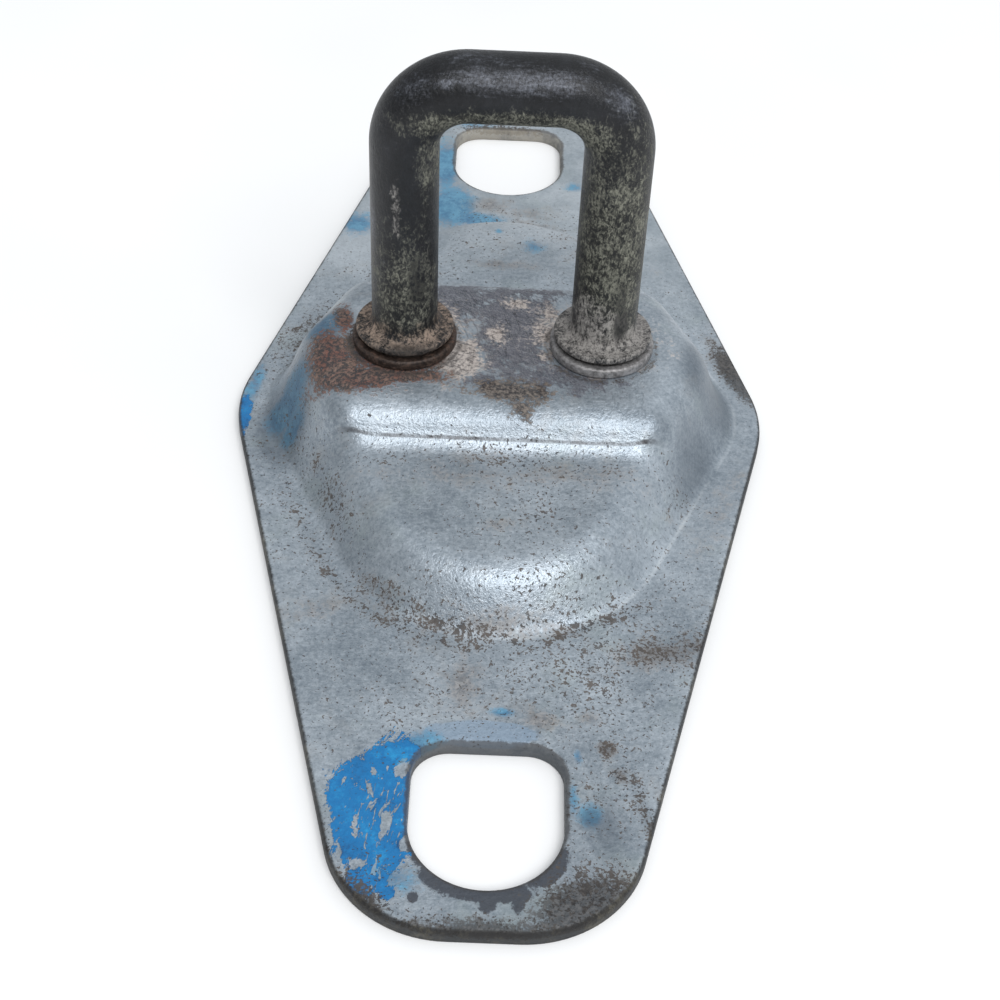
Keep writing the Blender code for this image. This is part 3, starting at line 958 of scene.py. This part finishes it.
def chipped_paint(g, cloud, blotch, grain):
    """Mask and colour of the blue paint."""
    flake = g.noise(1.3, detail=4, rough=0.7, warp=0.6, stretch=(0.7, 1.5, 1), turn=-12, seed=9)
    chip = g.noise(0.8, detail=3, rough=0.6, warp=0.8, stretch=(0.6, 1.9, 1), turn=-12, seed=18)
    paint = g.broken("paint", g.total((flake, 0.7), (grain, 0.3)), soft=0.08, start=-0.04)
    chip = g.ramp(g.total(chip, (g.field("chips"), 0.18)), 0.25, 0.33)
    paint = g.times(paint, g.total(1.0, (chip, -1.0)))
    tone = g.total((cloud, 0.4), (blotch, 0.8), (flake, 0.4), (grain, 0.3))
    colour = g.mix(g.ramp(tone, 0.0, 0.6), g.tones(tone, -0.6, 0.0, BLUE_DEEP), BLUE_PALE)
    return paint, colour


def rust_shade(g, blotch, grain):
    """Colour of the rust: reddish round the left foot and browner towards the middle."""
    light = g.mix(g.ramp(g.axis("X"), -7.0, -4.0), g.tones(blotch, -0.3, 0.3, RUST_LIGHT), RUST_BROWN)
    return g.mix(g.ramp(grain, -0.2, 0.3), RUST_DARK, light)


def dark_spots(g, cloud, blotch, pin):
    """Mask of the small pits and specks, which crowd where the dirt and painted shade lie."""
    fleck = g.noise(0.85, detail=3, rough=0.65, warp=0.3, seed=4)
    density = g.total((g.field("specks"), 0.12), (cloud, 0.22), (blotch, 0.18), 0.05)
    crowd = g.times(g.ramp(g.total(g.field("grime_and_shade"), (blotch, 0.6)), -0.5, 0.4), 0.2)
    return g.most(
        g.ramp(g.plus(fleck, density, crowd), 0.36, 0.46),
        g.ramp(g.plus(pin, density, crowd), 0.33, 0.43),
    )


def zinc_colour(g, cloud, blotch, grain, silk):
    """The plating itself, mottled, with a painted paler far end and a painted highlight along the
    boss's foot.
    """
    shade = g.total((cloud, 0.5), (blotch, 0.3), (grain, 0.6), (silk, 0.12))
    colour = g.tones(shade, -0.6, 0.6, ZINC)
    warm = g.total(g.noise(8, detail=5, rough=0.7, seed=6), (blotch, 0.5))
    colour = g.coat(g.ramp(warm, 0.05, 0.55), 0.3, colour, ZINC_WARM)
    green = g.noise(9, detail=4, rough=0.65, seed=17)
    colour = g.coat(g.ramp(green, 0.05, 0.5), 0.3, colour, ZINC_GREEN)
    # painted highlight: a thin bright line along the boss's foot, mostly to the right, in place of the
    # fillet's glint
    foot_glint_line = g.ramp(g.absolute(g.plus(g.field("foot"), -0.3)), 0.35, 0.05)
    painted_glint = g.times(foot_glint_line, g.ramp(g.axis("X"), -14.0, 2.0), g.ramp(g.plus(blotch, cloud), -0.5, 0.3))
    colour = g.coat(painted_glint, 0.35, colour, ZINC_PAINTED_GLINT)
    # painted light: the far end is made paler, as if it were better lit
    far_painted_light = g.ramp(g.axis("Y"), 15.0, 40.0)
    return g.coat(far_painted_light, 0.45, colour, g.tones(cloud, -0.3, 0.3, ZINC_FAR_PAINTED_LIGHT))


def plate_material():
    """Dull zinc plating with blue paint, rust, dirt, stains, scratches and pits."""
    g = Graph("worn zinc plate")
    cloud = g.noise(11, detail=4, rough=0.6, seed=1)
    blotch = g.noise(2.6, detail=5, rough=0.7, seed=2)
    grain = g.noise(0.5, detail=3, rough=0.75, seed=3)
    silk = g.noise(0.3, detail=2, rough=0.6, stretch=(5, 1, 1), turn=3, seed=16)
    pin = g.noise(0.36, detail=2, rough=0.6, seed=5)
    along_lines, across_lines = scratch_noises(g)
    beside = g.plus(g.absolute(g.axis("X")), -LEG_X)
    leg = g.maths("SQRT", g.plus(g.times(beside, beside), g.times(g.axis("Y"), g.axis("Y"))))

    # thin films, with painted light and shade laid in among them
    colour = zinc_colour(g, cloud, blotch, grain, silk)
    clean = g.broken("clean", g.times(blotch, 0.4), soft=0.15)
    colour = g.coat(clean, 0.65, colour, ZINC_CLEAN)
    wash = g.times(g.broken("wash", g.total((blotch, 1.0), (grain, 0.5)), soft=0.8), 0.85)
    colour = g.mix(wash, colour, g.tones(g.total(blotch, (grain, 0.4)), -0.4, 0.4, WASH))
    # painted shade on the boss's side slopes and ridge wall, plus real tarnish elsewhere
    tarnish_and_shade = g.broken("tarnish_and_shade", g.times(cloud, 0.5), soft=1.0)
    colour = g.coat(tarnish_and_shade, 0.55, colour, ZINC_TARNISH_AND_SHADE)
    # real stains, plus painted shade under the ridge's wall and at the near lobe's foot
    stain_and_shade = g.broken("stain_and_shade", g.total((blotch, 1.2), (grain, 0.8)), soft=1.0)
    colour = g.coat(stain_and_shade, 0.6, colour, g.tones(grain, -0.3, 0.3, STAINED_AND_SHADED))

    # the rubbed ridge top and the residue round the feet
    slate_noise = g.total((along_lines, 0.5), (across_lines, 0.4), (blotch, 1.3))
    slate = g.broken("slate", slate_noise, soft=0.4)
    lines = g.total((along_lines, 0.7), (across_lines, 0.5), (blotch, 0.8))
    scratch = g.most(
        g.ramp(g.absolute(across_lines), 0.06, 0.0),
        g.ramp(g.absolute(along_lines), 0.05, 0.0),
    )
    slate_colour = g.coat(scratch, 0.5, g.tones(lines, -0.45, 0.3, SLATED), SCRATCHED)
    colour = g.coat(slate, 0.9, colour, slate_colour)
    tan = g.broken("tan", g.total((blotch, 1.1), (grain, 0.9)), soft=0.6)
    tan_colour = g.tones(g.total(grain, (across_lines, 0.5)), -0.35, 0.2, TANNED)
    colour = g.coat(tan, 0.85, colour, tan_colour)
    arcs = turned_arcs(g, leg, blotch, grain, along_lines)
    colour = g.coat(arcs, 0.4, colour, SCRAPED)
    bare = g.broken("bare", g.total((blotch, 0.45), (grain, 0.4)), soft=0.2)
    colour = g.coat(bare, 0.9, colour, BARE_STEEL)
    rust = g.broken("rust", g.total((blotch, 0.8), (grain, 0.85)), soft=0.4)
    rust = g.times(rust, g.ramp(g.plus(g.field("tan"), grain), 1.5, 1.1))
    colour = g.coat(rust, 0.92, colour, rust_shade(g, blotch, grain))

    # paint, pits, a painted shade line in the groove, and dirt mixed with painted shade
    paint, paint_colour = chipped_paint(g, cloud, blotch, grain)
    colour = g.mix(paint, colour, paint_colour)
    spots = dark_spots(g, cloud, blotch, pin)
    colour = g.coat(spots, 0.88, colour, g.tones(blotch, -0.3, 0.3, PITTED))
    # painted shade: a thin dark line in the crease under the ridge's wall
    colour = g.mix(painted_groove_shade(g, blotch), colour, GROOVE_SHADE)
    # dirt and painted shade: in the crease at the boss's foot, a contact shade round the washers
    grime_and_shade = g.broken("grime_and_shade", g.total((blotch, 0.6), (grain, 1.6)), soft=0.8)
    colour = g.coat(grime_and_shade, 0.85, colour, g.tones(grain, -0.3, 0.4, GRIMY_AND_SHADED))

    # the underside, dusty and with rust that has run from the rivet heads
    under = g.field("under")
    dust = g.times(under, g.ramp(g.total(cloud, (blotch, 0.7), (grain, 0.4)), -0.5, 0.5))
    colour = g.coat(dust, 0.75, colour, DUST)
    seep = g.times(under, g.ramp(g.total(leg, (blotch, 4.0), (grain, 2.0)), 11.0, 6.5))
    colour = g.coat(seep, 0.85, colour, g.tones(grain, -0.3, 0.3, SEEPED))

    # cut edges: the holes' walls with their dark lips, and the plate's darker rim
    hole = g.field("hole")
    bore = g.ramp(g.total(hole, (blotch, 0.3), (grain, 0.3)), 0.65, 0.3)
    lip = g.ramp(g.absolute(g.plus(hole, -0.35)), 0.3, 0.1)
    bore_colour = g.tones(g.plus(blotch, cloud), -0.5, 0.3, SHEARED)
    near_bore = g.mix(0.9, bore_colour, SHEARED_NEAR)
    bore_colour = g.mix(g.ramp(g.axis("Y"), 10.0, -10.0), bore_colour, near_bore)
    colour = g.coat(bore, 0.8, colour, g.coat(lip, 0.7, bore_colour, SHEARED_LIP))
    rim = g.ramp(g.total(g.field("edge"), (blotch, 0.1), (grain, 0.2)), 0.5, 0.15)
    rim_tone = g.total(blotch, (cloud, 0.6), (grain, 0.5))
    colour = g.coat(rim, 0.92, colour, g.tones(rim_tone, -0.1, 0.6, RIM_DARKENED))

    films = ((rust, 0.95), (tan, 0.7), (grime_and_shade, 0.85), (slate, 0.5), (spots, 0.8), (rim, 0.8))
    films += ((wash, 0.6), (stain_and_shade, 0.5), (dust, 0.7))
    dull = g.most(paint, bore, seep, *(g.times(*film) for film in films))
    metallic = g.blend(dull, 0.62, 0.0)
    bright = g.total(0.4, (cloud, 0.1), (grain, 0.12))
    roughness = g.blend(dull, bright, g.blend(paint, 0.75, 0.42))
    height = g.total(
        (grain, 0.85),
        (pin, 0.5),
        (silk, 0.15),
        (spots, -0.6),
        (paint, 1.0),
        (rust, 0.8, g.plus(1.0, grain)),
        (g.ramp(lines, 0.0, 0.5), slate, -0.5),
        (tan, grain, 0.8),
        (blotch, 0.3),
    )
    return g.finish(colour, metallic, roughness, height, 0.05)


def bar_material():
    """Black oxide worn to a mottled grey-green patina, with rubbed streaks that also carry a painted
    sheen, and a rusted foot.
    """
    g = Graph("blackened bar")
    cloud = g.noise(6, detail=3, rough=0.6, seed=11)
    blotch = g.noise(1.6, detail=5, rough=0.7, stretch=(1, 1, 1.5), seed=12)
    grain = g.noise(0.34, detail=4, rough=0.75, warp=0.6, stretch=(1, 1, 1.7), seed=13)
    streak = g.noise(0.4, detail=3, rough=0.7, warp=0.8, stretch=(5, 1, 1), seed=14)
    mottle = g.total(grain, (blotch, 0.3))

    tone = g.total((cloud, 0.6), (blotch, 0.5), (grain, 0.5))
    colour = g.tones(tone, -0.4, 0.8, BLACKENED)
    flecks = g.ramp(g.total(streak, (grain, 0.5), (cloud, 0.3)), 0.38, 0.6)
    colour = g.coat(flecks, 0.4, colour, BLACK_WORN)
    patina = g.broken("patina", g.total((blotch, 0.75), (grain, 0.9)), soft=0.8)
    patina_tone = g.total((grain, 1.2), (blotch, 0.35), (cloud, 0.4))
    colour = g.coat(patina, 0.92, colour, g.tones(patina_tone, -0.3, 0.45, PATINATED))
    pale = g.broken("pale", g.total((blotch, 1.0), (grain, 0.7)), soft=0.7)
    colour = g.coat(pale, 0.85, colour, g.tones(mottle, -0.35, 0.2, PALED))
    # rubbed wear with a painted sheen on the bar's top and bends
    rubbed_and_sheen = g.broken("rubbed_and_sheen", g.total((streak, 0.9), (grain, 0.6)), soft=1.2)
    colour = g.coat(rubbed_and_sheen, 0.7, colour, g.tones(grain, -0.4, 0.4, POLISHED_AND_SHEEN))
    crust = g.broken("crust", g.total((blotch, 0.9), (grain, 0.8)), soft=0.6)
    colour = g.coat(crust, 0.88, colour, g.tones(mottle, -0.35, 0.2, CRUSTED))
    # black smears, and painted shade in the gap under the collars
    soot_and_shade = g.broken("soot_and_shade", g.total((blotch, 1.6), (grain, 1.2)), soft=0.5)
    colour = g.coat(soot_and_shade, 0.8, colour, SOOT_AND_SHADE_BLACK)

    dull = g.most(g.times(patina, 0.9), g.times(pale, 0.8), crust)
    metallic = g.blend(g.most(dull, g.times(rubbed_and_sheen, 0.2)), 0.25, 0.05)
    roughness = g.blend(dull, g.total(0.38, (grain, 0.12)), 0.75)
    height = g.total((grain, 0.7), (blotch, 0.8), (crust, 0.8), (patina, 0.4))
    return g.finish(colour, metallic, roughness, height, 0.06)


def washer_material(name, shades, rust_amount):
    """Stained steel ring; rust_amount moves it from grey towards orange-brown."""
    g = Graph(name)
    blotch = g.noise(1.6, detail=4, rough=0.65, seed=21)
    grain = g.noise(0.45, detail=3, rough=0.7, seed=22)
    colour = g.tones(g.total((blotch, 0.6), (grain, 0.8)), -0.5, 0.5, shades)
    rust = g.ramp(g.total(blotch, (grain, 0.5), rust_amount), 0.0, 0.5)
    colour = g.coat(rust, 0.8, colour, g.tones(grain, -0.3, 0.4, RING_RUST))
    metallic = g.blend(rust, 0.5, 0.0)
    roughness = g.blend(rust, 0.5, 0.85)
    height = g.total((grain, 0.7), (blotch, 0.5), (rust, 0.6))
    return g.finish(colour, metallic, roughness, height, 0.06)


def floor_material():
    g = Graph("pale floor")
    tone = g.noise(60, detail=2, seed=31)
    return g.finish(g.tones(tone, -0.6, 0.6, FLOOR_WHITE), 0.0, 0.9, tone, 0.01)


# ---------------------------------------------------------------- floor, light and camera
#
# Here lengths are metres, and powers are watts, except for the camera's place in millimetres.

FLOOR_HALF = 3
KEY_PLACE = (0.26, -0.86, 1.2)
KEY_SIZE = (1.0, 0.8)
KEY_POWER = 15.8
SKY_TOWARDS = (0.45, 0.25, 0.85)  # the side of the studio that is brightest
SKY_COLOUR = (0.93, 0.965, 1, 1)
SKY_DIM = 0.25
SKY_BRIGHT = 0.86
CAMERA_PLACE = (-1.48, -169.85, 145.9)
CAMERA_DOWN = math.radians(43.235)
CAMERA_TURN = math.radians(0.693)
CAMERA_TILT = math.radians(2.796)
CAMERA_LENS = 62.51
SENSOR = 36.0


def make_floor():
    mesh = bpy.data.meshes.new("floor")
    bm = bmesh.new()
    bmesh.ops.create_grid(bm, x_segments=1, y_segments=1, size=FLOOR_HALF)
    bm.to_mesh(mesh)
    bm.free()
    floor = bpy.data.objects.new("floor", mesh)
    bpy.context.scene.collection.objects.link(floor)
    floor.data.materials.append(floor_material())


def make_key_light():
    """A soft rectangle in front and above, aimed at the middle of the plate."""
    light = bpy.data.lights.new("key", "AREA")
    light.shape = "RECTANGLE"
    light.size, light.size_y = KEY_SIZE
    light.energy = KEY_POWER
    item = bpy.data.objects.new("key", light)
    item.location = KEY_PLACE
    item.rotation_mode = "QUATERNION"
    item.rotation_quaternion = (-Vector(KEY_PLACE)).to_track_quat("-Z", "Y")
    bpy.context.scene.collection.objects.link(item)


def make_world():
    """A dim studio that is brighter above, in front and to the right than on the left."""
    world = bpy.data.worlds.new("soft studio")
    world.use_nodes = True
    tree = world.node_tree
    way = tree.nodes.new("ShaderNodeTexCoord")
    towards = tree.nodes.new("ShaderNodeVectorMath")
    towards.operation = "DOT_PRODUCT"
    tree.links.new(way.outputs["Generated"], towards.inputs[0])
    towards.inputs[1].default_value = SKY_TOWARDS
    ramp = tree.nodes.new("ShaderNodeMapRange")
    tree.links.new(towards.outputs["Value"], ramp.inputs["Value"])
    ramp.inputs["From Min"].default_value = -0.3
    ramp.inputs["To Min"].default_value = SKY_DIM
    ramp.inputs["To Max"].default_value = SKY_BRIGHT
    background = tree.nodes["Background"]
    background.inputs["Color"].default_value = SKY_COLOUR
    tree.links.new(ramp.outputs["Result"], background.inputs["Strength"])
    bpy.context.scene.world = world


def make_camera():
    data = bpy.data.cameras.new("camera")
    data.sensor_width = SENSOR
    data.lens = CAMERA_LENS
    data.clip_start = 0.005
    camera = bpy.data.objects.new("camera", data)
    bpy.context.scene.collection.objects.link(camera)
    turn = Matrix.Rotation(-CAMERA_TURN, 4, "Z")
    down = Matrix.Rotation(math.pi / 2 - CAMERA_DOWN, 4, "X")
    tilt = Matrix.Rotation(CAMERA_TILT, 4, "Z")
    place = Matrix.Translation(Vector(CAMERA_PLACE) * MM)
    camera.matrix_world = place @ turn @ down @ tilt
    bpy.context.scene.camera = camera


make_camera()
make_world()
make_key_light()
bpy.context.scene.view_settings.view_transform = "Standard"
make_floor()
make_plate()
make_loop()
rusty = washer_material("rusty washer", RUSTY_STEEL, 0.0)
stained = washer_material("stained washer", STAINED_STEEL, -0.6)
make_washer("washer_left", "seat_washer_left", -LEG_X, rusty)
make_washer("washer_right", "seat_washer_right", LEG_X, stained)
